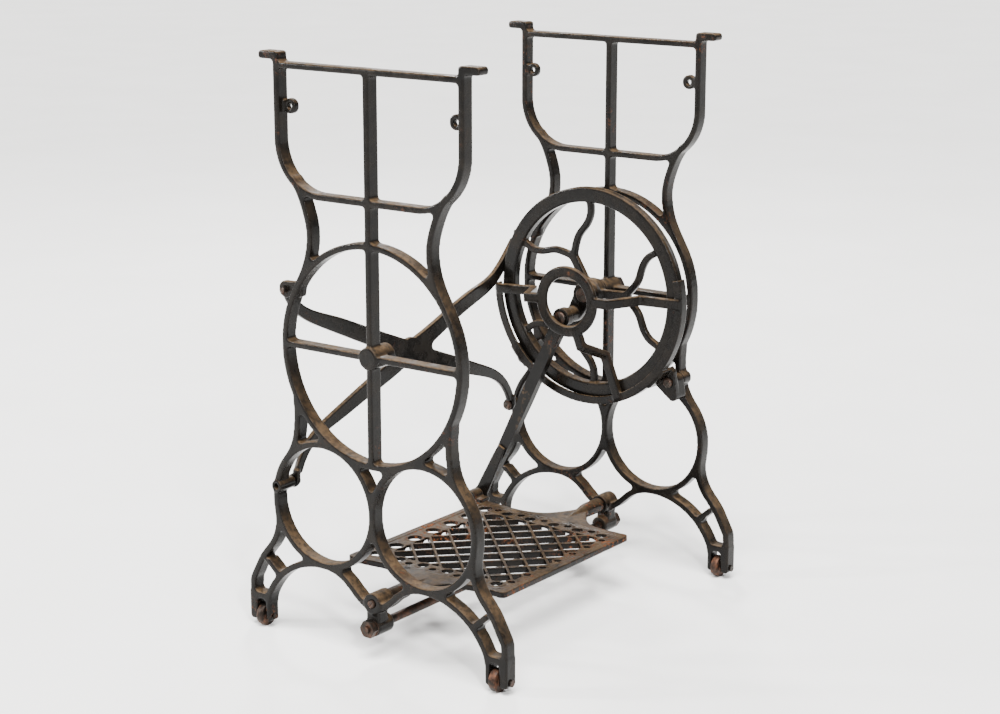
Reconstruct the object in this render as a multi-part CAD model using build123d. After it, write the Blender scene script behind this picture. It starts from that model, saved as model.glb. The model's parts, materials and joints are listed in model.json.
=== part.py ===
"""Cast iron treadle stand of an antique sewing machine, as an assembly of separate pieces.

Frame: X runs along the band wheel's axle, towards the wheel side. -Y is the operator's side.
Z is up from the floor that the four casters stand on. The origin is on the floor, midway
between the two side frames. All sizes are millimetres.
"""
from build123d import *
import math
import os

os.makedirs("parts", exist_ok=True)

# ---------------------------------------------------------------- driving dimensions
HEIGHT = 700.0            # floor to the lug tops that carry the table
FRAME_SPACING = 480.0     # between the mid-planes of the two side frames
DEPTH = 17.5              # depth of a side frame's members along X
BAR = 7.5                 # width of a member seen from the side
RING_BAR = 8.0            # width of the small rings and the legs
INNER = FRAME_SPACING / 2 - DEPTH / 2
OUTER = FRAME_SPACING / 2 + DEPTH / 2
CLEAR = 0.05              # radial running clearance of a shaft in its hole

# side frame, in its own plane
UPRIGHT_Y = 132.5
CROSSBAR_Z = 684.7
LUG_TIP_Y = 158.0
LUG_Z = 690.5
U_Z = 538.7
U_RADIUS = 62.0
AXLE_Z = 361.6
BIG_RING = 128.2
SMALL_RING = 74.0
SMALL_RING_Z = 172.6
PIVOT_Z = 68.0
TIE_Z = 39.0
EAR_Y = 119.5
EAR_Z = 638.0
EAR_HOLE = 3.5
FOOT_Y0 = 163.5
FOOT_Y1 = 194.5
FOOT_TOP = 44.0
FOOT_BOTTOM = 8.0
SLOT_Y0 = 169.5
SLOT_Y1 = 183.0
SLOT_TOP = 35.0
BOSS_IN = 222.0           # inboard end of the two lower bosses
CENTRE_BOSS_IN = 216.0
CENTRE_BOSS_OUT = 251.5
BRACE_LUG = (132.5, 424.0)
BRACE_BOSS = (146.0, 184.0)
GUARD_LUG = (115.0, 257.0)
GUARD_TOE = (121.0, 239.0)

# casters
CASTER_R = 14.0
CASTER_WIDTH = 12.0
CASTER_PIN_R = 2.4

# band wheel, crank and guard
WHEEL_X = 192.0           # near face of the rim
WHEEL_WIDTH = 14.0
WHEEL_R = 137.6
RIM_IN = 118.5
HUB_R = 16.0
HUB_X0 = 180.0
HUB_X1 = 215.5
STUD_R = 7.0
BUSH_R = 9.5
THROW = 32.0
CRANK_ANGLE = 30.0        # of the crank from straight down, towards the rear
CRANK_PIN_R = 5.5
CRANK_X0 = 166.0
CRANK_X1 = 190.0
GUARD_X = 143.5           # mid-plane of the guard's ring
GUARD_RING_OUT = 46.0
GUARD_RING_IN = 31.5
GUARD_RING_DROP = 2.5     # of the ring below the axle
TROUGH_X0 = 185.0
TROUGH_X1 = 198.5
TROUGH_IN = 134.5
TROUGH_OUT = 145.5
TROUGH_WALL = 3.0

# pitman and treadle
PITMAN_X0 = 152.5
PITMAN_X1 = 164.5
LOWER_PIVOT = (143.0, 76.0)
TREADLE_X = 141.0         # half length of the treadle between its rear corners
TREADLE_X_FRONT = 134.5   # and between its front corners
TREADLE_REAR = 131.5
TREADLE_FRONT = -106.0
TREADLE_Z0 = 63.0
TREADLE_Z1 = 70.5
FLARE_X = 187.0           # where the flares run into the ears
TREADLE_RIM = 9.0
EAR_R = 9.6
EAR_END = 221.0
LATTICE_PITCH = 26.3
LATTICE_BAR = 3.6
LATTICE_Z0 = 61.4
LATTICE_Z1 = 69.8
BAND_Z0 = 65.6
BAND_Z1 = 69.5
HOLE_Z0 = 65.0            # underside of the walls round the holes
NODE_PITCH = LATTICE_PITCH * math.sqrt(2)   # between the lattice's crossings, along X and Y
HOLE_WALL = 3.2
FIELD_X = 103.0           # half length of the lattice between the pierced bands
FIELD_REAR = 97.0
FIELD_FRONT = -86.0

# screws and nuts
BRACE_LUG_X = 221.0
BRACE_SCREW_R = 3.5
PIVOT_SCREW_R = 4.5
TIE_END_R = 4.5
TIE_R = 5.5

# brace
BRACE_Y0 = 139.0
BRACE_Y1 = 146.0
BRACE_EYE = 5.5
BRACE_EYE_R = 8.5
BRACE_END_X = INNER - BRACE_EYE
BRACE_FOOT_X = BRACE_LUG_X - BRACE_EYE
TIE_TIP = 262.0

# wheel details
SPOKE = 8.8
SPOKE_ANGLE = 178.0       # of the first stem, from the rear, upwards
BELT_R = 4.5
STUD_HEAD_X = 176.5
STUD_TIP = 262.0
PIN_HEAD_X = 148.9
GUARD_BAR_X = 187.5
GUARD_FOOT_X = 206.0
GUARD_SCREW_R = 3.5
GUARD_SHOULDER_R = 148.2  # the foot stays inside this near the screw's head
GUARD_SEAT_X = INNER - 1.0
GUARD_ARMS = (1.5, 184.0, -68.5)   # measured at the axle from the front, upwards
GUARD_ARM = 12.4          # width of an arm, round the axle
TROUGH_FRONT = 14.0
TROUGH_SWEEP = 193.0

# pitman and treadle details
HEAD_BUSH_R = 7.5
ROD_TOP = 16.0
ROD_BOTTOM = 22.0
STRAP_X = 149.0
LOWER_SCREW_R = 4.0
LOWER_GAP = 0.6           # between the opened lower pivot's screw and the treadle's boss
TREADLE_BOSS_X = 144.0
CONE_DEPTH = 6.0

CRANK_Y = THROW * math.sin(math.radians(CRANK_ANGLE))
CRANK_Z = AXLE_Z - THROW * math.cos(math.radians(CRANK_ANGLE))


# ---------------------------------------------------------------- small helpers
def plate(sketch, x0, x1):
    """A sketch drawn in (y, z) and given a thickness from x0 to x1."""
    return extrude(Plane.YZ.offset(x0) * sketch, amount=x1 - x0)


def rod(y, z, radius, x0, x1):
    """A cylinder along X."""
    return plate(Pos(y, z) * Circle(radius), x0, x1)


def rod_y(x, z, radius, y0, y1):
    """A cylinder along Y."""
    return extrude(Plane.XZ.offset(-y0) * Pos(x, z) * Circle(radius), amount=-(y1 - y0))


def strip(line, width):
    """A band of one width along a line."""
    return trace(line, line_width=width)


def ring(y, z, radius, width):
    """A flat ring by its middle radius."""
    return Pos(y, z) * (Circle(radius + width / 2) - Circle(radius - width / 2))


def soften(sketch, radius):
    """Round each corner of a sketch where a fillet of that radius fits."""
    points = [vertex.center() for vertex in sketch.vertices()]
    for point in points:
        corner = sketch.vertices().sort_by_distance(point)[0]
        try:
            rounded = fillet(corner, radius)
        except (ValueError, RuntimeError):
            continue
        if rounded.is_valid:
            sketch = rounded
    return sketch


def hexagon_nut(y, z, across, bore, x0, x1):
    """A nut along X with its corners turned off at the outer end."""
    body = plate(Pos(y, z) * (RegularPolygon(across / 2, 6, major_radius=False)), x0, x1)
    cone = revolve(
        Plane.XZ * Polygon((x0, 0), (x0, across * 0.62), (x1 - 1.2, across * 0.62), (x1, across * 0.52),
                           (x1, 0), align=None),
        axis=Axis.X)
    return (body & Pos(0, y, z) * cone) - rod(y, z, bore, x0 - 1, x1 + 1)


def slotted_screw(y, z, head, shank, x_head, x_seat, x_tip):
    """A round-headed slotted screw along X, from its head to its tip, either way round."""
    way = 1 if x_seat > x_head else -1
    profile = Polygon((x_head, 0), (x_head, head * 0.7), (x_head + way * 1.4, head), (x_seat, head),
                      (x_seat, shank), (x_tip - way, shank), (x_tip, shank - 1), (x_tip, 0), align=None)
    screw = Pos(0, y, z) * revolve(Plane.XZ * profile, axis=Axis.X)
    slot = Pos(x_head, y, z) * Rot(40, 0, 0) * Box(2.4, 1.4, head * 3)
    return screw - slot


def save(name, shape):
    """Write one sub-part's STEP file."""
    shape.label = name
    export_step(shape, "parts/" + name + ".step")


# ---------------------------------------------------------------- side frames
def frame_half():
    """The bands on the rear half of a side frame, as one list of flat faces."""
    corner = U_RADIUS * math.sqrt(0.5)
    u_centre = (UPRIGHT_Y - U_RADIUS, U_Z + U_RADIUS)
    lines = [
        (Line((UPRIGHT_Y, HEIGHT), (UPRIGHT_Y, u_centre[1])), BAR),
        (ThreePointArc((UPRIGHT_Y, u_centre[1]), (u_centre[0] + corner, u_centre[1] - corner),
                       (u_centre[0], U_Z)), BAR),
        (Line((u_centre[0], U_Z), (-1, U_Z)), BAR),
        (Line((UPRIGHT_Y, CROSSBAR_Z), (-1, CROSSBAR_Z)), BAR),
        (Line((BIG_RING, AXLE_Z), (-1, AXLE_Z)), BAR),
        (Spline((113, 557), (94, 525), (87, 495), (92, 463), (111.4, 425),
                tangents=[(-0.72, -0.69), (0.49, -0.87)]), BAR),
        (Spline((113.5, 302), (113, 262), (119, 238), (131, 220),
                tangents=[(-0.1, -1), (0.64, -0.77)]), RING_BAR),
        (Spline((148, 172), (145.5, 138), (155, 112), (172, 91), (186, 66), (190.2, 40),
                tangents=[(0, -1), (0, -1)]), RING_BAR),
        (Spline((76, 98.6), (125, 86), (147, 69), (162, 48), (167, 32),
                tangents=[(1, 0), (0.15, -1)]), RING_BAR),
        (Line((166, 89), (145, 70.5)), BAR),
        (Spline((78, 98.6), (40, 87), (22, 71), (4, 60),
                tangents=[(-1, 0), (-0.9, -0.5)]), RING_BAR),
    ]
    faces = [strip(line, width) for line, width in lines]
    faces.append(ring(SMALL_RING + 0.1, SMALL_RING_Z, SMALL_RING, RING_BAR))
    foot = Pos((FOOT_Y0 + FOOT_Y1) / 2, (FOOT_TOP + FOOT_BOTTOM) / 2) * Rectangle(
        FOOT_Y1 - FOOT_Y0, FOOT_TOP - FOOT_BOTTOM)
    faces.append(foot)
    lug = Pos((LUG_TIP_Y + UPRIGHT_Y - BAR / 2) / 2, (HEIGHT + LUG_Z) / 2) * Rectangle(
        LUG_TIP_Y - UPRIGHT_Y + BAR / 2, HEIGHT - LUG_Z)
    faces.append(lug)
    return faces


def frame_web():
    """The flat pattern of a whole side frame."""
    half = Sketch() + frame_half()
    pattern = half + mirror(half, about=Plane.YZ)
    pattern += ring(0, AXLE_Z, BIG_RING, BAR)
    pattern += strip(Line((0, CROSSBAR_Z), (0, AXLE_Z - BIG_RING)), BAR)
    pattern += Pos(0, (PIVOT_Z + TIE_Z) / 2) * Rectangle(19, PIVOT_Z - TIE_Z)
    pattern += Pos(0, PIVOT_Z) * Circle(11.5)
    pattern += Pos(0, TIE_Z) * Circle(10.5)
    slot = Rectangle(SLOT_Y1 - SLOT_Y0, SLOT_TOP + 5)
    for side in (-1, 1):
        pattern -= Pos(side * (SLOT_Y0 + SLOT_Y1) / 2, SLOT_TOP / 2 - 2.5) * slot
    return pattern


def side_frame():
    """One side frame on +X, with what both frames share."""
    frame = plate(soften(frame_web(), 4.0), INNER, OUTER)
    for side in (-1, 1):
        ear = Pos(side * EAR_Y, EAR_Z) * Circle(9) + Pos(side * (EAR_Y + 6), EAR_Z) * Rectangle(12, 13)
        frame += plate(ear, INNER + 0.5, INNER + 9)
        frame -= rod(side * EAR_Y, EAR_Z, EAR_HOLE, INNER - 1, OUTER)
        frame -= rod_y(FRAME_SPACING / 2, CASTER_R, CASTER_PIN_R + CLEAR,
                       side * (FOOT_Y0 - 1), side * (FOOT_Y1 + 1))
    neck = Polygon((104, 436), (106, 418), (132, 414.5), (132, 433.5), align=None)
    frame += plate(neck, INNER + 0.5, INNER + 9)
    frame += rod(BRACE_LUG[0], BRACE_LUG[1], 10.2, INNER + 0.5, INNER + 9)
    frame += rod(BRACE_BOSS[0], BRACE_BOSS[1], 7.5, BRACE_LUG_X, OUTER + 1.5)
    frame += rod(0, PIVOT_Z, 12.5, BOSS_IN, OUTER + 1)
    frame += rod(0, TIE_Z, 11.5, BOSS_IN, OUTER + 1)
    frame += rod(0, AXLE_Z, 13.3, CENTRE_BOSS_IN, CENTRE_BOSS_OUT)
    frame -= rod(BRACE_LUG[0], BRACE_LUG[1], BRACE_SCREW_R + CLEAR, INNER - 1, OUTER)
    frame -= rod(BRACE_BOSS[0], BRACE_BOSS[1], BRACE_SCREW_R + CLEAR, BRACE_LUG_X - 1, OUTER + 2)
    frame -= rod(0, PIVOT_Z, PIVOT_SCREW_R + CLEAR, BOSS_IN - 1, OUTER + 2)
    frame -= rod(0, TIE_Z, TIE_END_R + CLEAR, BOSS_IN - 1, OUTER + 2)
    return frame


def left_frame_from(frame):
    """The other side frame is the mirror image, and its centre boss stays blind."""
    return mirror(frame, about=Plane.YZ)


def right_frame_from(frame):
    """The wheel side's frame has a hole for the axle stud and two lugs for the guard."""
    for side in (-1, 1):
        frame += rod(side * GUARD_LUG[0], GUARD_LUG[1], 9.5, GUARD_SEAT_X, OUTER - 0.5)
        frame -= rod(side * GUARD_LUG[0], GUARD_LUG[1], GUARD_SCREW_R + CLEAR, GUARD_SEAT_X - 1, OUTER + 1)
    return frame - rod(0, AXLE_Z, STUD_R + CLEAR, CENTRE_BOSS_IN - 1, CENTRE_BOSS_OUT + 1)


# ---------------------------------------------------------------- rear brace and tie rod
def brace_arm(points, widths):
    """One flat arm of the brace from the crossing outwards, narrowing along its length."""
    middle = Spline(*points)
    upper = []
    lower = []
    for step in range(len(widths)):
        at = step / (len(widths) - 1)
        spot = middle @ at
        way = middle % at
        upper.append((spot.X - way.Y * widths[step] / 2, spot.Y + way.X * widths[step] / 2))
        lower.append((spot.X + way.Y * widths[step] / 2, spot.Y - way.X * widths[step] / 2))
    side_up = Spline(*upper)
    side_down = Spline(*lower)
    outline = [side_up, Line(side_up @ 1, side_down @ 1), side_down, Line(side_down @ 0, side_up @ 0)]
    return make_face(outline)


def cross_brace():
    """The X-shaped casting that ties the two frames together at the rear."""
    crossing = (0, 302)
    upper_widths = [26, 24, 22, 21, 20, 17, 14, 12]
    upper_left = brace_arm([crossing, (60, 327.5), (112, 350), (150, 366), (188, 382), (203, 391),
                            (215, 403), (BRACE_END_X, 417)], upper_widths)
    upper_right = brace_arm([crossing, (60, 323.5), (105, 341), (150, 355), (173, 364), (189, 377),
                             (206, 390), (BRACE_END_X, 413)], upper_widths)
    lower = brace_arm([crossing, (85, 269.5), (160, 242), (189, 228), (206, 211), (BRACE_FOOT_X, 192)],
                      [26, 23, 20, 17, 13, 11])
    flat = upper_right + lower + mirror(upper_left + lower, about=Plane.YZ) + Pos(crossing) * Circle(18)
    brace = extrude(Plane.XZ.offset(-BRACE_Y1) * soften(flat, 6.0), amount=BRACE_Y1 - BRACE_Y0)
    for side in (-1, 1):
        for (y, z), seat, rise in ((BRACE_LUG, INNER, -12), (BRACE_BOSS, BRACE_LUG_X, 14)):
            near, far = sorted((side * seat, side * (seat - BRACE_EYE)))
            brace += rod(y, z, BRACE_EYE_R, near, far)
            neck = Box(BRACE_EYE, BRACE_Y1 - BRACE_Y0 + 2, abs(rise))
            brace += Pos((near + far) / 2, (BRACE_Y1 + BRACE_Y0) / 2 - 1.5, z + rise / 2) * neck
            brace -= rod(y, z, BRACE_SCREW_R + CLEAR, near - 1, far + 1)
    return brace


def brace_screws():
    """Four slotted screws that hold the brace's eyes to the frames' lugs."""
    screws = []
    for side in (-1, 1):
        for (y, z), seat in ((BRACE_LUG, INNER), (BRACE_BOSS, BRACE_LUG_X)):
            under = seat - BRACE_EYE
            tip = min(seat + 24, OUTER - 2)
            screws.append(slotted_screw(y, z, 6.5, BRACE_SCREW_R, side * (under - 4), side * under,
                                        side * tip))
    return Compound(children=screws)


def tie_rod():
    """The rod between the frames' feet, with a shoulder against each boss."""
    rod_body = rod(0, TIE_Z, TIE_R, -BOSS_IN, BOSS_IN)
    return rod_body + rod(0, TIE_Z, TIE_END_R, -TIE_TIP, TIE_TIP)


def tie_rod_washers():
    """A washer under each of the tie rod's nuts."""
    washer = rod(0, TIE_Z, 10.5, OUTER + 1, OUTER + 2.6)
    washer -= rod(0, TIE_Z, TIE_END_R + CLEAR, OUTER, OUTER + 4)
    return Compound(children=[washer, mirror(washer, about=Plane.YZ)])


def tie_rod_nuts():
    """The hexagon nuts on the tie rod's ends."""
    nut = hexagon_nut(0, TIE_Z, 19.0, TIE_END_R + CLEAR, OUTER + 2.6, OUTER + 10.6)
    return Compound(children=[nut, mirror(nut, about=Plane.YZ)])


# ---------------------------------------------------------------- band wheel, stud and crank
def spoke_branch(side):
    """One of the two curved branches that each stem of the wheel splits into."""
    path = Spline((44, 0), (62, side * 9), (73, side * 22.5), (79, side * 39), (87, side * 51.5),
                  (104, side * 62), tangents=[(1, 0), (0.86, side * 0.5)])
    return strip(path, SPOKE)


def band_wheel():
    """The cast wheel: grooved rim, three forked spokes, hub and crank arm."""
    middle = WHEEL_X + WHEEL_WIDTH / 2
    far = WHEEL_X + WHEEL_WIDTH
    rim_section = Polygon((WHEEL_X, RIM_IN + 1.5), (WHEEL_X + 1.5, RIM_IN), (far - 1.5, RIM_IN),
                          (far, RIM_IN + 1.5), (far, WHEEL_R - 1), (far - 1, WHEEL_R),
                          (WHEEL_X + 1, WHEEL_R), (WHEEL_X, WHEEL_R - 1), align=None)
    rim_section -= Pos(middle, WHEEL_R + 0.5) * Circle(BELT_R)
    wheel = revolve(Plane.XZ * rim_section, axis=Axis.X)
    spokes = Sketch()
    for turn in range(3):
        arm = spoke_branch(1) + spoke_branch(-1) + strip(Line((8, 0), (56, 0)), SPOKE + 3)
        spokes += Rot(0, 0, SPOKE_ANGLE + 120 * turn) * arm
    spokes = soften(spokes - Circle(12), 4.0)
    wheel += plate(spokes, WHEEL_X + 3, WHEEL_X + WHEEL_WIDTH - 3)
    wheel += rod(0, 0, HUB_R, HUB_X0, HUB_X1)
    wheel += rod(0, 0, HUB_R + 3, WHEEL_X + 1, WHEEL_X + WHEEL_WIDTH)
    crank_y = CRANK_Y
    crank_z = CRANK_Z - AXLE_Z
    arm = make_hull(((Circle(14)).edges() + (Pos(crank_y, crank_z) * Circle(10.5)).edges()))
    wheel += plate(arm, HUB_X0 + 0.5, CRANK_X1)
    wheel += rod(crank_y, crank_z, 10.5, CRANK_X0, CRANK_X1)
    wheel -= rod(crank_y, crank_z, CRANK_PIN_R + CLEAR, CRANK_X0 - 1, CRANK_X1 + 1)
    wheel -= rod(0, 0, BUSH_R + CLEAR, HUB_X0 - 20, HUB_X1 + 1)
    return Pos(0, 0, AXLE_Z) * wheel


def wheel_bush():
    """The bush in the wheel's hub."""
    bush = rod(0, AXLE_Z, BUSH_R, HUB_X0 + 0.5, HUB_X1 - 0.2)
    return bush - rod(0, AXLE_Z, STUD_R + CLEAR, HUB_X0, HUB_X1)


def wheel_stud():
    """The axle stud in the right frame's centre boss, with a slotted head that keeps the wheel on."""
    profile = Polygon((STUD_HEAD_X, 0), (STUD_HEAD_X, 8.4), (STUD_HEAD_X + 1.2, 9.6), (HUB_X0, 9.6),
                      (HUB_X0, STUD_R), (STUD_TIP - 1, STUD_R), (STUD_TIP, STUD_R - 1), (STUD_TIP, 0),
                      align=None)
    stud = Pos(0, 0, AXLE_Z) * revolve(Plane.XZ * profile, axis=Axis.X)
    return stud - Pos(STUD_HEAD_X, 0, AXLE_Z) * Rot(60, 0, 0) * Box(3, 1.8, 30)


def stud_nut():
    """The nut on the axle stud, outside the frame."""
    return hexagon_nut(0, AXLE_Z, 22.0, STUD_R + CLEAR, CENTRE_BOSS_OUT, CENTRE_BOSS_OUT + 8)


def crank_pin():
    """The pin that carries the pitman, with a slotted head in front of it."""
    profile = Polygon((PIN_HEAD_X, 0), (PIN_HEAD_X, 7.5), (PIN_HEAD_X + 1, 8.5), (PITMAN_X0 - 0.3, 8.5),
                      (PITMAN_X0 - 0.3, CRANK_PIN_R), (CRANK_X1, CRANK_PIN_R), (CRANK_X1, 0), align=None)
    pin = Pos(0, CRANK_Y, CRANK_Z) * revolve(Plane.XZ * profile, axis=Axis.X)
    return pin - Pos(PIN_HEAD_X, CRANK_Y, CRANK_Z) * Rot(-25, 0, 0) * Box(2.4, 1.6, 30)


# ---------------------------------------------------------------- dress guard
def guard_arm(angle):
    """A radial arm that steps along X from the guard's ring to its trough.

    The angle is measured at the axle from the front, upwards.
    """
    path = Polyline((GUARD_X, GUARD_RING_IN + 8), (GUARD_X, 63), (GUARD_BAR_X, 83),
                    (GUARD_BAR_X, TROUGH_OUT - 3))
    band = fillet(strip(path, 8.5).vertices().filter_by(lambda v: 40 < v.Y < 120), 3)
    arm = extrude(Plane.XZ * band, amount=GUARD_ARM / 2, both=True)
    return Rot(90 - angle, 0, 0) * arm


def dress_guard():
    """The guard casting: a ring in front of the crank, three arms and a trough round the wheel."""
    ring_section = RectangleRounded(7.5, GUARD_RING_OUT - GUARD_RING_IN, 2.6)
    ring_middle = (GUARD_RING_OUT + GUARD_RING_IN) / 2
    band = revolve(Plane.XZ * Pos(GUARD_X, ring_middle) * ring_section, axis=Axis.X)
    guard = Pos(0, 0, -GUARD_RING_DROP) * band
    channel = Polygon((TROUGH_X0, TROUGH_IN), (TROUGH_X0 + TROUGH_WALL, TROUGH_IN),
                      (TROUGH_X0 + TROUGH_WALL, TROUGH_OUT - TROUGH_WALL),
                      (TROUGH_X1, TROUGH_OUT - TROUGH_WALL), (TROUGH_X1, TROUGH_OUT),
                      (TROUGH_X0, TROUGH_OUT), align=None)
    start = Rot(90 - TROUGH_FRONT, 0, 0) * Plane.XZ
    sector = revolve(start * channel, axis=Axis.X, revolution_arc=TROUGH_SWEEP)
    guard += sector
    for angle in GUARD_ARMS:
        guard += guard_arm(angle)
    guard -= rod(0, -GUARD_RING_DROP, GUARD_RING_IN, GUARD_X - 10, GUARD_X + 10)
    clear_of_wheel = Circle(TROUGH_OUT - TROUGH_WALL + 0.4)
    for side in (-1, 1):
        y = side * GUARD_LUG[0]
        z = GUARD_LUG[1] - AXLE_Z
        toe = Pos(y, z) * Circle(8.9) if side > 0 else Pos(-GUARD_TOE[0], GUARD_TOE[1] - AXLE_Z) * Circle(6)
        root = Rot(0, 0, math.degrees(math.atan2(z, y))) * Pos(TROUGH_OUT + 1, 0) * Rectangle(8, 34)
        lug = Pos(y, z) * Circle(9)
        foot = make_hull(lug.edges() + root.edges() + toe.edges()) - clear_of_wheel
        guard += plate(foot, GUARD_FOOT_X, GUARD_FOOT_X + 8)
        guard += plate(root & Circle(GUARD_SHOULDER_R) - clear_of_wheel, TROUGH_X0 + 1, GUARD_FOOT_X + 4)
        guard += plate(make_hull(lug.edges() + toe.edges()), GUARD_FOOT_X + 6, GUARD_SEAT_X)
        guard -= rod(y, z, GUARD_SCREW_R + CLEAR, GUARD_FOOT_X - 1, INNER + 1)
    return Pos(0, 0, AXLE_Z) * guard


def guard_screws():
    """Two slotted screws that hold the guard to the right frame."""
    screws = []
    for side in (-1, 1):
        screws.append(slotted_screw(side * GUARD_LUG[0], GUARD_LUG[1], 6.5, GUARD_SCREW_R,
                                    GUARD_FOOT_X - 4, GUARD_FOOT_X, OUTER - 2))
    return Compound(children=screws)


# ---------------------------------------------------------------- pitman
def along_pitman(distance, across=0.0):
    """A point in (y, z), measured down the pitman from the crank pin."""
    down_y = LOWER_PIVOT[0] - CRANK_Y
    down_z = LOWER_PIVOT[1] - CRANK_Z
    length = math.hypot(down_y, down_z)
    way = (down_y / length, down_z / length)
    return (CRANK_Y + way[0] * distance - way[1] * across, CRANK_Z + way[1] * distance + way[0] * across)


def pitman_band(stations):
    """A flat outline along the pitman, from pairs of distance and half width."""
    one_side = [along_pitman(distance, half) for distance, half in stations]
    other_side = [along_pitman(distance, -half) for distance, half in reversed(stations)]
    return make_face(Polyline(*one_side, *other_side, close=True))


def pitman_rod():
    """The wooden rod between the pitman's two fittings."""
    middle = (PITMAN_X0 + PITMAN_X1) / 2
    length = math.dist((CRANK_Y, CRANK_Z), LOWER_PIVOT)
    outline = pitman_band([(ROD_TOP, 6.5), (60, 8.0), (130, 8.5), (210, 7.5), (length - ROD_BOTTOM, 6.0)])
    return plate(outline, middle - 5.5, middle + 5.5)


def pitman_head():
    """The upper fitting: a bearing eye with a socket that holds the rod."""
    head = rod(CRANK_Y, CRANK_Z, 12.5, PITMAN_X0, PITMAN_X1)
    socket = pitman_band([(6, 10.0), (ROD_TOP + 26, 9.5)])
    head += plate(socket, PITMAN_X0, PITMAN_X1)
    middle = (PITMAN_X0 + PITMAN_X1) / 2
    head -= plate(pitman_band([(ROD_TOP, 7.3), (ROD_TOP + 40, 8.4)]), middle - 5.5, middle + 5.5)
    return head - rod(CRANK_Y, CRANK_Z, HEAD_BUSH_R + CLEAR, PITMAN_X0 - 1, PITMAN_X1 + 1)


def pitman_bush():
    """The bush in the pitman's bearing eye."""
    bush = rod(CRANK_Y, CRANK_Z, HEAD_BUSH_R, PITMAN_X0, PITMAN_X1)
    return bush - rod(CRANK_Y, CRANK_Z, CRANK_PIN_R + CLEAR, PITMAN_X0 - 1, PITMAN_X1 + 1)


def pitman_strap():
    """The lower fitting: a flat strap screwed to the rod's face, with an eye for the treadle's screw."""
    length = math.dist((CRANK_Y, CRANK_Z), LOWER_PIVOT)
    middle = (PITMAN_X0 + PITMAN_X1) / 2
    strap = plate(pitman_band([(length - 78, 5.5), (length - 60, 7.0), (length - 10, 9.0), (length, 9.0)]),
                  STRAP_X, middle - 5.5)
    strap += rod(LOWER_PIVOT[0], LOWER_PIVOT[1], 10.5, STRAP_X, middle - 5.5)
    return strap - rod(LOWER_PIVOT[0], LOWER_PIVOT[1], LOWER_SCREW_R + CLEAR, STRAP_X - 1, PITMAN_X1)


def pitman_pivot_screw():
    """The pivot screw of the pitman's lower joint. Its end stops just short of the treadle's boss."""
    seat = (PITMAN_X0 + PITMAN_X1) / 2 - 5.5
    profile = Polygon((seat + 5, 0), (seat + 5, 5.5), (seat + 3.6, 7.5), (seat, 7.5), (seat, LOWER_SCREW_R),
                      (TREADLE_BOSS_X + LOWER_GAP, LOWER_SCREW_R), (TREADLE_BOSS_X + LOWER_GAP, 0),
                      align=None)
    screw = Pos(0, LOWER_PIVOT[0], LOWER_PIVOT[1]) * revolve(Plane.XZ * profile, axis=Axis.X)
    return screw - Pos(seat + 5, LOWER_PIVOT[0], LOWER_PIVOT[1]) * Rot(15, 0, 0) * Box(2.4, 1.4, 30)


# ---------------------------------------------------------------- treadle
def treadle_outline():
    """The treadle's outline in (x, y): straight front and rear, with sides that flare into the two ears."""
    rear_side = Spline((TREADLE_X, TREADLE_REAR), (138.5, 100), (136, 72), (138.5, 50), (147, 32),
                       (163, 19), (FLARE_X, EAR_R - 1), tangents=[(-0.08, -1), (1, -0.1)])
    front_side = Spline((FLARE_X, 1 - EAR_R), (164, -20), (148, -32), (138.5, -46), (134.5, -62),
                        (134, -84), (TREADLE_X_FRONT, TREADLE_FRONT), tangents=[(-1, -0.1), (0.05, -1)])
    half = make_face([rear_side, Line((FLARE_X, EAR_R - 1), (FLARE_X, 1 - EAR_R)), front_side,
                      Line((TREADLE_X_FRONT, TREADLE_FRONT), (-1, TREADLE_FRONT)),
                      Line((-1, TREADLE_FRONT), (-1, TREADLE_REAR)),
                      Line((-1, TREADLE_REAR), (TREADLE_X, TREADLE_REAR))])
    return soften(half + mirror(half, about=Plane.YZ), 7.0)


def treadle_window(grow):
    """The opening inside the treadle's solid rim, made larger all round by a given amount."""
    front_x = TREADLE_X_FRONT - TREADLE_RIM + grow
    rear_x = TREADLE_X - TREADLE_RIM - 3 + grow
    front_y = TREADLE_FRONT + TREADLE_RIM - grow
    rear_y = TREADLE_REAR - TREADLE_RIM + grow
    corners = Polygon((-front_x, front_y), (front_x, front_y), (rear_x, rear_y), (-rear_x, rear_y),
                      align=None)
    return fillet(corners.vertices(), 5)


def layer(sketch, bottom, top):
    """A sketch drawn in (x, y) and given a thickness between two heights."""
    return extrude(Pos(0, 0, bottom) * sketch, amount=top - bottom, dir=(0, 0, 1))


def lattice_bars():
    """The centre line, as position and turn, of each diagonal bar of the treadle."""
    reach = math.ceil((FIELD_X + FIELD_REAR - FIELD_FRONT) / NODE_PITCH)
    for index in range(-reach, reach):
        for turn in (45, -45):
            yield Pos(0, FIELD_REAR) * Rot(0, 0, turn) * Pos((index + 0.5) * LATTICE_PITCH, 0)


def treadle_holes():
    """Place and radius of each round hole in the pierced bands round the lattice."""
    for index in range(7):
        x = (index - 3) * NODE_PITCH
        yield Pos(x, FIELD_REAR + 9.5), 9.3
        yield Pos(x * 0.86, FIELD_FRONT - 3.0), 4.6
    for index in range(5):
        y = FIELD_REAR - 8 - index * NODE_PITCH
        for side in (-1, 1):
            yield Pos(side * (FIELD_X + 8.5), y - NODE_PITCH / 2), 7.0
            yield Pos(side * (FIELD_X + 14.0), y), 4.6


def treadle_field_edge():
    """The lattice's field, reaching a little into the bands so that the bars join them."""
    middle_y = (FIELD_REAR + FIELD_FRONT) / 2
    return Pos(0, middle_y) * Rectangle(2 * FIELD_X + 3, FIELD_REAR - FIELD_FRONT + 3)


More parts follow.
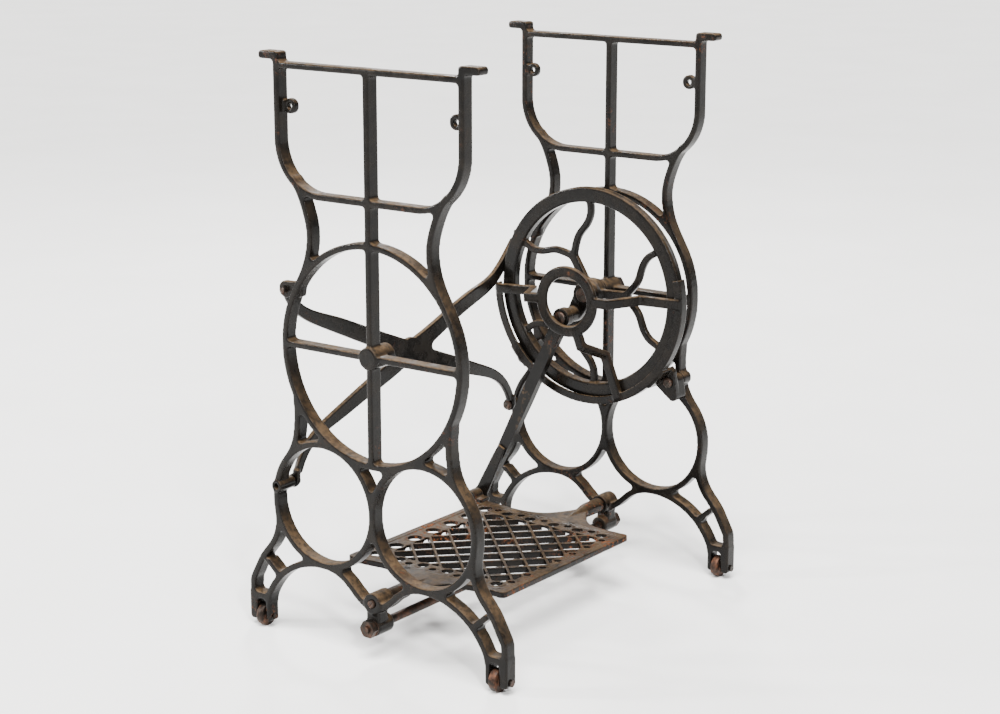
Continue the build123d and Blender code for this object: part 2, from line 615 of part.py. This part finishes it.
def treadle_ear():
    """The round ear on +X, which swells out of the flare and ends in a cone socket for the pivot screw."""
    swell = Spline((FLARE_X - 42, 2.5), (FLARE_X - 24, 4.6), (FLARE_X - 8, 7.4), (FLARE_X + 6, EAR_R),
                   tangents=[(1, 0.1), (1, 0.05)])
    outline = make_face([Line((FLARE_X - 42, 0), (FLARE_X - 42, 2.5)), swell,
                         Line((FLARE_X + 6, EAR_R), (EAR_END, EAR_R)),
                         Line((EAR_END, EAR_R), (EAR_END, CONE_DEPTH)),
                         Line((EAR_END, CONE_DEPTH), (EAR_END - CONE_DEPTH, 0)),
                         Line((EAR_END - CONE_DEPTH, 0), (FLARE_X - 42, 0))])
    return Pos(0, 0, PIVOT_Z) * revolve(Plane.XZ * outline, axis=Axis.X)


def treadle():
    """The treadle casting with its rim, lattice, pierced bands, two ears and the pitman's boss."""
    window = treadle_window(0)
    field = Pos(0, (FIELD_REAR + FIELD_FRONT) / 2) * Rectangle(2 * FIELD_X, FIELD_REAR - FIELD_FRONT)
    holes = list(treadle_holes())
    casting = layer(treadle_outline(), TREADLE_Z0, TREADLE_Z1)
    casting -= layer(window, TREADLE_Z0 - 1, TREADLE_Z1 + 1)
    casting += layer(treadle_window(2) - field, BAND_Z0, BAND_Z1)
    bars = Sketch() + [place * Rectangle(LATTICE_BAR, 1200) for place in lattice_bars()]
    casting += layer(bars & treadle_field_edge(), LATTICE_Z0, LATTICE_Z1)
    walls = Sketch() + [place * Circle(radius + HOLE_WALL) for place, radius in holes]
    casting += layer(walls & treadle_window(1), HOLE_Z0, LATTICE_Z1 + 0.4)
    for place, radius in holes:
        casting -= layer(place * Circle(radius), TREADLE_Z0 - 1, TREADLE_Z1 + 1)
    for side in (-1, 1):
        casting += treadle_ear() if side > 0 else mirror(treadle_ear(), about=Plane.YZ)
    near = TREADLE_X - 16
    casting += rod(LOWER_PIVOT[0], LOWER_PIVOT[1], 9.0, near, TREADLE_BOSS_X)
    neck = Box(TREADLE_BOSS_X - near, 20, LOWER_PIVOT[1] - TREADLE_Z0)
    return casting + Pos((near + TREADLE_BOSS_X) / 2, LOWER_PIVOT[0] - 9,
                         (TREADLE_Z0 + LOWER_PIVOT[1]) / 2) * neck


def treadle_screws():
    """The two cone-pointed pivot screws in the frames' lower bosses."""
    tip = EAR_END - CONE_DEPTH + 0.6
    base = tip + CONE_DEPTH - 1.0
    profile = Polygon((tip, 0), (base, base - tip), (base, PIVOT_SCREW_R), (OUTER + 3, PIVOT_SCREW_R),
                      (OUTER + 4, PIVOT_SCREW_R - 1), (OUTER + 4, 0), align=None)
    screw = Pos(0, 0, PIVOT_Z) * revolve(Plane.XZ * profile, axis=Axis.X)
    screw -= Pos(OUTER + 4, 0, PIVOT_Z) * Rot(40, 0, 0) * Box(3, 1.4, 20)
    return Compound(children=[screw, mirror(screw, about=Plane.YZ)])


# ---------------------------------------------------------------- casters
def caster_wheel(x, y):
    """A small iron wheel on an axle along Y."""
    half = CASTER_WIDTH / 2
    profile = Polygon((CASTER_PIN_R + CLEAR, -half), (6, -half), (7, -half + 1), (CASTER_R - 3, -half + 1),
                      (CASTER_R - 0.6, -half + 1.6), (CASTER_R, -2), (CASTER_R, 2),
                      (CASTER_R - 0.6, half - 1.6), (CASTER_R - 3, half - 1), (7, half - 1), (6, half),
                      (CASTER_PIN_R + CLEAR, half), align=None)
    return Pos(x, y, CASTER_R) * revolve(profile, axis=Axis.Y)


def caster_pins():
    """The four pins through the feet that the casters turn on."""
    pins = []
    for x in (-FRAME_SPACING / 2, FRAME_SPACING / 2):
        for side in (-1, 1):
            near, far = sorted((side * (FOOT_Y0 - 1), side * (FOOT_Y1 + 1.5)))
            pin = rod_y(x, CASTER_R, CASTER_PIN_R, near, far)
            near_head, far_head = sorted((side * (FOOT_Y1 + 0.05), side * (FOOT_Y1 + 2)))
            pins.append(pin + rod_y(x, CASTER_R, 4.2, near_head, far_head))
    return Compound(children=pins)


# ---------------------------------------------------------------- all pieces
BASE_FRAME = side_frame()
save("left_frame", left_frame_from(BASE_FRAME))
save("right_frame", right_frame_from(BASE_FRAME))
save("cross_brace", cross_brace())
save("brace_screws", brace_screws())
save("tie_rod", tie_rod())
save("tie_rod_washers", tie_rod_washers())
save("tie_rod_nuts", tie_rod_nuts())
save("band_wheel", band_wheel())
save("wheel_bush", wheel_bush())
save("wheel_stud", wheel_stud())
save("stud_nut", stud_nut())
save("crank_pin", crank_pin())
save("dress_guard", dress_guard())
save("guard_screws", guard_screws())
save("pitman_rod", pitman_rod())
save("pitman_head", pitman_head())
save("pitman_bush", pitman_bush())
save("pitman_strap", pitman_strap())
save("pitman_pivot_screw", pitman_pivot_screw())
save("treadle", treadle())
save("treadle_pivot_screws", treadle_screws())
save("caster_pins", caster_pins())
for side_name, wheel_x in (("left", -FRAME_SPACING / 2), ("right", FRAME_SPACING / 2)):
    for end_name, wheel_y in (("front", -1), ("rear", 1)):
        save("caster_" + end_name + "_" + side_name,
             caster_wheel(wheel_x, wheel_y * (SLOT_Y0 + SLOT_Y1) / 2))
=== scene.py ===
"""Looks of a cast iron treadle stand: castings with soft edges, worn enamel, dust and rust."""
import json
import math

import bpy
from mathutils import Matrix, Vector


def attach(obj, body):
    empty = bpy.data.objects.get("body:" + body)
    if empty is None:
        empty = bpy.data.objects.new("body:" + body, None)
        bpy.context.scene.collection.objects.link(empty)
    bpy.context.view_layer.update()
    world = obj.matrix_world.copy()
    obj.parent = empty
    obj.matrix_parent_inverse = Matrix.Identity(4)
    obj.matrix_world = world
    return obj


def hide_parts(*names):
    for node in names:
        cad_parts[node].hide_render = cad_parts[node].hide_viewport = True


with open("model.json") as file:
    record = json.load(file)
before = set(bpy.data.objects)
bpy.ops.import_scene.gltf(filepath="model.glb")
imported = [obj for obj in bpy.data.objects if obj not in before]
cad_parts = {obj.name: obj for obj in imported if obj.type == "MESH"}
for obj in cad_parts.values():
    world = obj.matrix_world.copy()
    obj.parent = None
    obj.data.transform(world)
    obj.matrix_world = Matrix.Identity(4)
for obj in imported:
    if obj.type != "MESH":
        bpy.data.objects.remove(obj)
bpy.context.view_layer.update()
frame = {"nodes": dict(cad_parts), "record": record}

BODY_OF = {node: body for body, nodes in frame["record"]["behaviour"]["bodies"].items() for node in nodes}
SLOT_OF = {part["node"]: part["material_slot"] for part in frame["record"]["subparts"]}

# Camera, in metres: the photograph's viewpoint and field of view
CAMERA_AT = Vector((-2.0430, -1.5176, 0.9404))
CAMERA_LOOKS = Vector((0.77963, 0.57895, -0.23874))
LENS = 76.9              # millimetres, as is the sensor's width
SENSOR = 36.0
CLIP_END = 400.0
FLOOR_HALF = 120.0       # half the floor's width

# Light: the surround's strength, and the sun's strength, spread in degrees and direction
SURROUND = 0.50
SUN_STRENGTH = 8.5
SUN_SPREAD = 38
SUN_DIRECTION = Vector((0.32, 0.18, -1.0))

# Square lamps: name, place, the point each one faces, size and watts
LAMPS = [
    ("key", (-1.9, -2.2, 2.0), (0, 0, 0.40), 0.30, 120),
    ("side", (-1.8, 2.2, 1.2), (0, 0, 0.45), 0.30, 90),
    ("rim", (1.9, 1.6, 2.2), (0, 0, 0.30), 0.45, 70),
]

# Castings: the size of the skin's cells, and how many times it is smoothed
CASTINGS = {
    "left_frame": (0.0012, 9), "right_frame": (0.0012, 9), "cross_brace": (0.0012, 9),
    "band_wheel": (0.0011, 7), "dress_guard": (0.0010, 6), "treadle": (0.0009, 4),
    "pitman_head": (0.0007, 5), "pitman_strap": (0.0007, 4),
}
LUMP_SIZE = 0.012
LUMP_HEIGHT = 0.00012
LUMP_INWARDS = 0.8       # share of the unevenness that goes into the metal, not out of it
SOFTEN = 0.5

# Rounded edges on the pieces that stay as they are
ROD_EDGE = 0.0015
SMALL_EDGE = 0.0004
EDGE_SEGMENTS = 3
EDGE_ANGLE = 35          # degrees: only sharper corners are rounded


# ---------------------------------------------------------------- stage
def make_camera():
    """The camera at the photograph's viewing angle."""
    data = bpy.data.cameras.new("camera")
    data.lens = LENS
    data.sensor_width = SENSOR
    data.clip_end = CLIP_END
    camera = bpy.data.objects.new("camera", data)
    camera.location = CAMERA_AT
    camera.rotation_euler = CAMERA_LOOKS.to_track_quat("-Z", "Y").to_euler()
    bpy.context.scene.collection.objects.link(camera)
    bpy.context.scene.camera = camera


def area_light(name, place, target, size, watts):
    """A soft square light that faces a point."""
    data = bpy.data.lights.new(name, "AREA")
    data.size = size
    data.energy = watts
    lamp = bpy.data.objects.new(name, data)
    lamp.location = place
    lamp.rotation_euler = (Vector(target) - Vector(place)).to_track_quat("-Z", "Y").to_euler()
    bpy.context.scene.collection.objects.link(lamp)


def make_light():
    """Soft studio light: a pale surround, a broad overhead sun and three small lamps."""
    world = bpy.data.worlds.new("studio")
    bpy.context.scene.world = world
    world.use_nodes = True
    background = world.node_tree.nodes["Background"]
    background.inputs["Color"].default_value = (1.0, 1.0, 1.0, 1)
    background.inputs["Strength"].default_value = SURROUND
    sun = bpy.data.lights.new("overhead", "SUN")
    sun.energy = SUN_STRENGTH
    sun.angle = math.radians(SUN_SPREAD)
    overhead = bpy.data.objects.new("overhead", sun)
    overhead.rotation_euler = SUN_DIRECTION.to_track_quat("-Z", "Y").to_euler()
    bpy.context.scene.collection.objects.link(overhead)
    for lamp in LAMPS:
        area_light(*lamp)


def make_floor():
    """A plain pale floor."""
    mesh = bpy.data.meshes.new("floor")
    corners = [(-FLOOR_HALF, -FLOOR_HALF, 0), (FLOOR_HALF, -FLOOR_HALF, 0),
               (FLOOR_HALF, FLOOR_HALF, 0), (-FLOOR_HALF, FLOOR_HALF, 0)]
    mesh.from_pydata(corners, [], [(0, 1, 2, 3)])
    floor = bpy.data.objects.new("floor", mesh)
    bpy.context.scene.collection.objects.link(floor)
    material = bpy.data.materials.new("floor_concrete")
    material.use_nodes = True
    kit = Nodes(material)
    cloud = kit.noise(3.0, 6, 0.6)
    kit.colour_from(cloud, [(0.30, (0.85, 0.84, 0.82)), (0.75, (0.90, 0.89, 0.875))])
    kit.shader.inputs["Roughness"].default_value = 0.7
    mesh.materials.append(material)


# ---------------------------------------------------------------- node kit
class Nodes:
    """Small helpers for building a material's node tree."""

    def __init__(self, material):
        self.tree = material.node_tree
        self.shader = self.tree.nodes["Principled BSDF"]
        self.coordinates = self.tree.nodes.new("ShaderNodeTexCoord").outputs["Object"]

    def new(self, kind, **inputs):
        node = self.tree.nodes.new(kind)
        for name, value in inputs.items():
            self.feed(node.inputs[name.replace("_", " ")], value)
        return node

    def feed(self, socket, value):
        if isinstance(value, bpy.types.NodeSocket):
            self.tree.links.new(value, socket)
        else:
            socket.default_value = value

    def noise(self, scale, detail=4.0, roughness=0.5, stretch=None):
        """Noise in the row frame; scale is in features per metre."""
        place = self.coordinates
        if stretch:
            mapping = self.new("ShaderNodeMapping", Vector=place, Scale=stretch)
            place = mapping.outputs["Vector"]
        node = self.new("ShaderNodeTexNoise", Vector=place, Scale=scale, Detail=detail, Roughness=roughness)
        return node.outputs["Fac"]

    def ramp(self, value, low, high):
        """0 below low, 1 above high."""
        node = self.new("ShaderNodeMapRange", Value=value)
        node.interpolation_type = "SMOOTHSTEP"
        node.inputs["From Min"].default_value = low
        node.inputs["From Max"].default_value = high
        return node.outputs["Result"]

    def math(self, kind, first, second=0.0):
        node = self.tree.nodes.new("ShaderNodeMath")
        node.operation = kind
        node.use_clamp = kind in ("ADD", "MULTIPLY", "SUBTRACT")
        self.feed(node.inputs[0], first)
        self.feed(node.inputs[1], second)
        return node.outputs[0]

    def mix(self, amount, first, second):
        """A colour between two colours."""
        node = self.tree.nodes.new("ShaderNodeMix")
        node.data_type = "RGBA"
        self.feed(node.inputs[0], amount)
        for socket, value in ((node.inputs[6], first), (node.inputs[7], second)):
            self.feed(socket, (*value, 1) if isinstance(value, tuple) else value)
        return node.outputs[2]

    def mix_value(self, amount, first, second):
        """A number between two numbers."""
        node = self.tree.nodes.new("ShaderNodeMix")
        node.data_type = "FLOAT"
        self.feed(node.inputs[0], amount)
        self.feed(node.inputs[2], first)
        self.feed(node.inputs[3], second)
        return node.outputs[0]

    def colours(self, value, stops):
        """A colour ramp of (position, colour)."""
        node = self.tree.nodes.new("ShaderNodeValToRGB")
        self.feed(node.inputs[0], value)
        ramp = node.color_ramp
        ramp.elements[0].position, ramp.elements[0].color = stops[0][0], (*stops[0][1], 1)
        ramp.elements[1].position, ramp.elements[1].color = stops[-1][0], (*stops[-1][1], 1)
        for position, colour in stops[1:-1]:
            ramp.elements.new(position).color = (*colour, 1)
        return node.outputs["Color"]

    def colour_from(self, value, stops):
        self.feed(self.shader.inputs["Base Color"], self.colours(value, stops))

    def upward(self):
        """1 where a surface faces up, 0 where it faces level or down."""
        geometry = self.tree.nodes.new("ShaderNodeNewGeometry")
        split = self.new("ShaderNodeSeparateXYZ", Vector=geometry.outputs["Normal"])
        return self.ramp(split.outputs["Z"], 0.15, 0.95)

    def edges(self, low=0.53, high=0.62):
        """1 on convex edges, where worn enamel and the painted edge highlight show."""
        geometry = self.tree.nodes.new("ShaderNodeNewGeometry")
        return self.ramp(geometry.outputs["Pointiness"], low, high)

    def bump(self, layers):
        """Bump from (value, strength, distance in metres) layers."""
        normal = None
        for value, strength, distance in layers:
            node = self.new("ShaderNodeBump", Height=value, Strength=strength, Distance=distance)
            if normal is not None:
                self.feed(node.inputs["Normal"], normal)
            normal = node.outputs["Normal"]
        self.feed(self.shader.inputs["Normal"], normal)


def new_material(name):
    material = bpy.data.materials.new(name)
    material.use_nodes = True
    return Nodes(material), material


# ---------------------------------------------------------------- materials
BLACK = (0.0030, 0.0027, 0.0024)
WORN_BLACK = (0.0075, 0.0058, 0.0042)
DUST = (0.095, 0.058, 0.029)
GRIME = (0.030, 0.021, 0.013)
RUST = (0.190, 0.062, 0.020)
DARK_RUST = (0.055, 0.021, 0.010)
# lighter brown for worn enamel on convex edges, which is also a painted highlight along the rounded edges
EDGE_WEAR_AND_HIGHLIGHT = (0.105, 0.072, 0.046)
WORN_WOOD = (0.05, 0.033, 0.02)
IRON_SHEEN = 0.11
WOOD_SHEEN = 0.12


def enamelled_iron(name, rust=0.35, dust=0.85, edge=0.6):
    """Old black enamel on cast iron: dusty on top, worn and given a painted highlight at the edges, rusty
    in patches.
    """
    kit, material = new_material(name)
    broad = kit.noise(9.0, 5, 0.6)
    patches = kit.noise(38.0, 6, 0.65)
    fine = kit.noise(420.0, 3, 0.6)
    specks = kit.noise(160.0, 5, 0.7)
    colour = kit.mix(kit.ramp(patches, 0.35, 0.75), BLACK, WORN_BLACK)
    up = kit.upward()
    dusty = kit.math("MULTIPLY", kit.math("MULTIPLY", up, kit.ramp(patches, 0.18, 0.62)), dust)
    colour = kit.mix(dusty, colour, kit.mix(kit.ramp(specks, 0.4, 0.65), DUST, GRIME))
    # painted highlight and worn enamel: lighter brown laid on convex edges
    wear_and_highlight = kit.math("MULTIPLY", kit.edges(), kit.ramp(specks, 0.42, 0.60))
    colour = kit.mix(kit.math("MULTIPLY", wear_and_highlight, edge), colour, EDGE_WEAR_AND_HIGHLIGHT)
    where = kit.math("MULTIPLY", kit.ramp(broad, 0.56 - 0.1 * rust, 0.72), kit.ramp(specks, 0.52, 0.66))
    rusty = kit.math("MULTIPLY", where, rust * 2)
    colour = kit.mix(rusty, colour, kit.mix(kit.ramp(fine, 0.35, 0.7), DARK_RUST, RUST))
    kit.feed(kit.shader.inputs["Base Color"], colour)
    gloss = kit.mix_value(kit.ramp(patches, 0.3, 0.7), 0.18, 0.32)
    gloss = kit.mix_value(dusty, gloss, 0.75)
    gloss = kit.mix_value(rusty, gloss, 0.85)
    kit.feed(kit.shader.inputs["Roughness"], gloss)
    kit.shader.inputs["Specular IOR Level"].default_value = IRON_SHEEN
    kit.bump([(kit.noise(70.0, 3, 0.5), 0.25, 0.0012), (specks, 0.35, 0.0004), (fine, 0.25, 0.00012),
              (rusty, 0.4, 0.0003)])
    return material


def bare_metal(name, base, rust, rough):
    """Dull steel with brown rust in patches."""
    kit, material = new_material(name)
    specks = kit.noise(240.0, 5, 0.7)
    patches = kit.noise(90.0, 4, 0.6)
    rusty = kit.math("MULTIPLY", kit.ramp(patches, 0.38, 0.62), rust)
    colour = kit.mix(kit.ramp(specks, 0.35, 0.7), base, tuple(value * 0.55 for value in base))
    colour = kit.mix(rusty, colour, kit.mix(kit.ramp(specks, 0.4, 0.6), DARK_RUST, RUST))
    kit.feed(kit.shader.inputs["Base Color"], colour)
    kit.feed(kit.shader.inputs["Metallic"], kit.mix_value(rusty, 0.85, 0.1))
    kit.feed(kit.shader.inputs["Roughness"], kit.mix_value(rusty, rough, 0.85))
    kit.bump([(specks, 0.35, 0.0003), (kit.noise(900.0, 2, 0.5), 0.2, 0.0001)])
    return material


def painted_wood(name):
    """Black painted hardwood, with the grain showing along the rod where the paint is worn."""
    kit, material = new_material(name)
    grain = kit.noise(60.0, 4, 0.6, (6.0, 1.0, 0.35))
    specks = kit.noise(200.0, 4, 0.6)
    worn = kit.math("MULTIPLY", kit.ramp(specks, 0.5, 0.64), kit.ramp(grain, 0.45, 0.65))
    kit.feed(kit.shader.inputs["Base Color"], kit.mix(worn, BLACK, WORN_WOOD))
    kit.feed(kit.shader.inputs["Roughness"], kit.mix_value(worn, 0.30, 0.7))
    kit.shader.inputs["Specular IOR Level"].default_value = WOOD_SHEEN
    kit.bump([(grain, 0.3, 0.0004), (specks, 0.2, 0.0002)])
    return material


def make_materials():
    """One finish for each of the record's material slots."""
    return {
        "enamelled_iron": enamelled_iron("enamelled_iron"),
        "worn_iron": enamelled_iron("worn_iron", rust=1.0, dust=0.55, edge=0.8),
        "screw_steel": bare_metal("screw_steel", (0.032, 0.027, 0.023), 0.22, 0.36),
        "rusty_steel": bare_metal("rusty_steel", (0.020, 0.0155, 0.012), 0.25, 0.40),
        "bearing_metal": bare_metal("bearing_metal", (0.16, 0.14, 0.11), 0.3, 0.35),
        "caster_iron": bare_metal("caster_iron", (0.018, 0.013, 0.010), 0.40, 0.45),
        "painted_wood": painted_wood("painted_wood"),
    }


# ---------------------------------------------------------------- pieces
def apply_modifiers(piece):
    """Bake a piece's modifiers into its mesh."""
    graph = bpy.context.evaluated_depsgraph_get()
    baked = bpy.data.meshes.new_from_object(piece.evaluated_get(graph))
    piece.modifiers.clear()
    old = piece.data
    piece.data = baked
    bpy.data.meshes.remove(old)


def cast_copy(node, voxel, passes):
    """A casting with the CAD node's shape, its edges and inner corners melted as in sand casting."""
    source = frame["nodes"][node]
    piece = bpy.data.objects.new("cast_" + node, source.data.copy())
    bpy.context.scene.collection.objects.link(piece)
    remesh = piece.modifiers.new("remesh", "REMESH")
    remesh.mode = "VOXEL"
    remesh.voxel_size = voxel
    remesh.use_smooth_shade = True
    soften = piece.modifiers.new("soften", "SMOOTH")
    soften.factor = SOFTEN
    soften.iterations = passes
    texture = bpy.data.textures.new("lumps_" + node, "CLOUDS")
    texture.noise_scale = LUMP_SIZE
    uneven = piece.modifiers.new("uneven", "DISPLACE")
    uneven.texture = texture
    uneven.texture_coords = "LOCAL"
    uneven.strength = LUMP_HEIGHT
    uneven.mid_level = LUMP_INWARDS
    apply_modifiers(piece)
    piece.data.materials.clear()
    piece.data.materials.append(materials[SLOT_OF[node]])
    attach(piece, BODY_OF[node])
    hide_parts(node)


def dress_node(node, width):
    """A CAD node that stays: rounded edges and its material."""
    piece = frame["nodes"][node]
    piece.data.materials.clear()
    piece.data.materials.append(materials[SLOT_OF[node]])
    bevel = piece.modifiers.new("edges", "BEVEL")
    bevel.width = width
    bevel.segments = EDGE_SEGMENTS
    bevel.limit_method = "ANGLE"
    bevel.angle_limit = math.radians(EDGE_ANGLE)
    bevel.use_clamp_overlap = True


make_camera()
make_light()
make_floor()
materials = make_materials()
for node_name in frame["nodes"]:
    if node_name in CASTINGS:
        cast_copy(node_name, *CASTINGS[node_name])
    else:
        dress_node(node_name, ROD_EDGE if node_name == "pitman_rod" else SMALL_EDGE)
